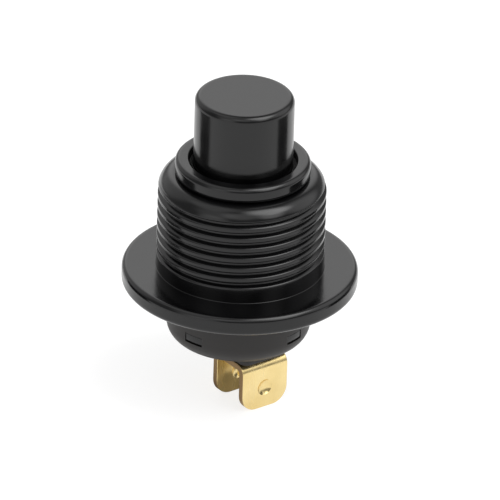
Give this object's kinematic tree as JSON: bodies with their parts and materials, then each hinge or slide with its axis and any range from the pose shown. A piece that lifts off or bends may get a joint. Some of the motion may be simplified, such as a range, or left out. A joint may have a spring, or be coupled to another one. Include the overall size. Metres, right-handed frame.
{
  "type": "industrial push button",
  "caption": "Panel-mount momentary push button: flat-topped cap in a threaded barrel with a fixed flange, latched base and flat blade terminals.",
  "frame": {"origin": "on the barrel's axis, in the flange's upper face, where the panel lies", "axes": "+Z along the barrel from the flange towards the button cap; the outer faces of both terminal blades look along -Y; +X completes a right-handed frame"},
  "size_m": [0.0222, 0.0222, 0.0312],
  "materials": {
    "black_housing": "glossy black moulded plastic",
    "black_bush": "glossy black moulded plastic",
    "black_cap": "glossy black moulded plastic with a flat satin top",
    "black_base": "semi-gloss black moulded plastic",
    "plunger_plastic": "natural acetal",
    "rubber_seal": "matte black rubber",
    "spring_steel": "drawn stainless spring wire",
    "washer_steel": "zinc plated steel",
    "fibre": "red vulcanised fibre",
    "terminal_brass": "stamped brass strip",
    "rivet_brass": "clinched brass",
    "pin_brass": "turned brass",
    "disc_copper": "stamped copper",
    "contact_silver": "silver contact face"
  },
  "bodies": {
    "root": {"housing": "black_housing", "guide_bush": "black_bush", "wiper_seal": "rubber_seal", "return_spring": "spring_steel", "spring_washer": "washer_steel", "base_gasket": "rubber_seal", "base": "black_base", "front_terminal": "terminal_brass", "rear_terminal": "terminal_brass", "front_rivet": "rivet_brass", "rear_rivet": "rivet_brass", "front_contact_tip": "contact_silver", "rear_contact_tip": "contact_silver"},
    "button": {"button_cap": "black_cap", "plunger": "plunger_plastic", "contact_pin": "pin_brass", "spring_seat": "washer_steel"},
    "bridge": {"contact_spring": "spring_steel", "fibre_washer": "fibre", "contact_disc": "disc_copper"}
  },
  "joints": [
    {"name": "button_press", "type": "slide", "parent": "root", "child": "button", "axis": [0, 0, -1], "range_m": [0, 0.0028], "stiffness_N_per_m": 2000, "springref_m": -0.0035, "deforming": ["return_spring", "contact_spring"]},
    {"name": "contact_close", "type": "slide", "parent": "root", "child": "bridge", "axis": [0, 0, -1], "range_m": [0, 0.002]}
  ],
  "couplings": [
    {"joint": "contact_close", "follows": "button_press", "ratio": 0.714}
  ]
}
